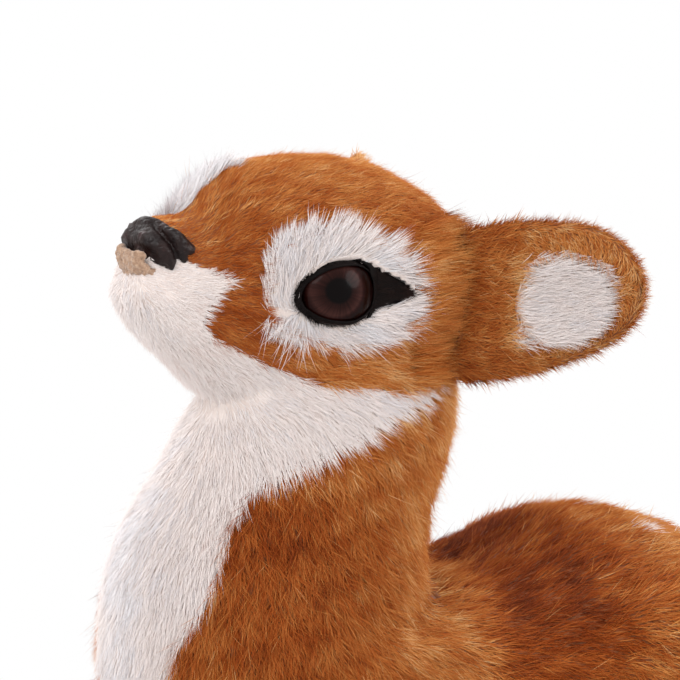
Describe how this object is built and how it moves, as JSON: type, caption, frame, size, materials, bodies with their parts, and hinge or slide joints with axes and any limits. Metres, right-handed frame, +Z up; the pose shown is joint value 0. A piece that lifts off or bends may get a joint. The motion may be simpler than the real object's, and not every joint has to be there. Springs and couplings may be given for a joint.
{
  "type": "toy fawn",
  "caption": "Small fur-covered toy fawn lying with folded legs, raised head and flexing ears and tail.",
  "frame": {"origin": "On the floor, under the middle of the lying fawn's overall box.", "axes": "+Z up; the fawn faces -Y, so +Y runs from its nose to its tail; +X is the fawn's left."},
  "size_m": [0.084, 0.1452, 0.1081],
  "materials": {
    "brown_fur": "short combed orange-brown fur with paler tips",
    "white_fur": "short combed warm white fur",
    "foam": "firm rigid foam, hidden",
    "dowel": "plain turned dowel, hidden",
    "nose_moulding": "half-gloss wrinkled black moulding",
    "nose_flock": "rough matte brown flock",
    "eyelid_leather": "satin black",
    "eye_plastic": "high-gloss dark red-brown with a black pupil",
    "hoof_moulding": "satin dark brown"
  },
  "bodies": {
    "body": {"body_foam": "foam", "head_foam": "foam", "neck_dowel": "dowel", "head_pelt": "brown_fur", "muzzle_pelt": "white_fur", "throat_and_bib_pelt": "white_fur", "neck_pelt": "brown_fur", "back_pelt": "brown_fur", "belly_pelt": "white_fur", "nose": "nose_moulding", "nose_pad": "nose_flock", "left_eye_patch_pelt": "white_fur", "left_eyelid": "eyelid_leather", "left_eye": "eye_plastic", "left_forearm": "brown_fur", "left_fore_cannon": "brown_fur", "left_fore_hoof": "hoof_moulding", "left_hind_cannon": "brown_fur", "left_hind_hoof": "hoof_moulding", "right_eye_patch_pelt": "white_fur", "right_eyelid": "eyelid_leather", "right_eye": "eye_plastic", "right_forearm": "brown_fur", "right_fore_cannon": "brown_fur", "right_fore_hoof": "hoof_moulding", "right_hind_cannon": "brown_fur", "right_hind_hoof": "hoof_moulding"},
    "left_ear": {"left_ear_shell": "brown_fur", "left_ear_lining": "white_fur"},
    "right_ear": {"right_ear_shell": "brown_fur", "right_ear_lining": "white_fur"},
    "tail": {"tail": "brown_fur"}
  },
  "joints": [
    {"name": "left_ear_flex", "type": "hinge", "parent": "body", "child": "left_ear", "pos_m": [0.0132, -0.00489, 0.08319], "axis": [-0.1228, -0.1228, 0.9848], "range_deg": [-15, 15], "stiffness_Nm_per_rad": 0.03},
    {"name": "right_ear_flex", "type": "hinge", "parent": "body", "child": "right_ear", "pos_m": [-0.0132, -0.00489, 0.08519], "axis": [0.2287, -0.0788, 0.9703], "range_deg": [-15, 15], "stiffness_Nm_per_rad": 0.03},
    {"name": "tail_flex", "type": "hinge", "parent": "body", "child": "tail", "pos_m": [0, 0.05895, 0.02536], "axis": [1, 0, 0], "range_deg": [-5, 20], "stiffness_Nm_per_rad": 0.01}
  ]
}
